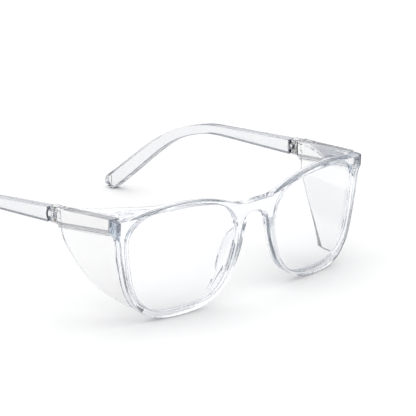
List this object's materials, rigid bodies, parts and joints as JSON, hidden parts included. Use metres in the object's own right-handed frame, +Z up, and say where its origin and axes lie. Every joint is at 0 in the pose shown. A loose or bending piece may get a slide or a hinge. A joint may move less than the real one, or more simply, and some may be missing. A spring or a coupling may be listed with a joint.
{
  "type": "safety glasses",
  "caption": "Clear one-piece-look safety spectacles with a wrapped front, side and brow shields, and two temples that fold on screwed hinges.",
  "frame": {"origin": "on the table under the middle of the open spectacles", "axes": "+Z up, the front faces -Y, the temples run to +Y, +X towards the wearer's left"},
  "size_m": [0.1412, 0.1533, 0.0462],
  "materials": {
    "clear_frame": "polished clear polycarbonate with a cool blue-grey cast",
    "clear_lens": "polished clear polycarbonate, uncoated",
    "clear_shield": "polished clear polycarbonate sheet, very faintly grey",
    "clear_temple": "polished clear plastic with soft moulded edges",
    "screw": "bright slotted screw",
    "insert": "turned and plated steel bush"
  },
  "bodies": {
    "front": {"front_frame": "clear_frame", "lens_left": "clear_lens", "lens_right": "clear_lens", "side_arm_left": "clear_frame", "side_arm_right": "clear_frame", "side_shield_left": "clear_shield", "side_shield_right": "clear_shield", "brow_shield_left": "clear_shield", "brow_shield_right": "clear_shield", "nose_pad_left": "clear_frame", "nose_pad_right": "clear_frame", "hinge_screw_left": "screw", "hinge_screw_right": "screw", "hinge_insert_left": "insert", "hinge_insert_right": "insert"},
    "temple_left_body": {"temple_left": "clear_temple"},
    "temple_right_body": {"temple_right": "clear_temple"}
  },
  "joints": [
    {"name": "temple_left_fold", "type": "hinge", "parent": "front", "child": "temple_left_body", "pos_m": [0.06698, -0.03223, 0.0392], "axis": [0, 0, 1], "range_deg": [0, 90]},
    {"name": "temple_right_fold", "type": "hinge", "parent": "front", "child": "temple_right_body", "pos_m": [-0.06698, -0.03223, 0.0392], "axis": [0, 0, -1], "range_deg": [0, 83]}
  ]
}
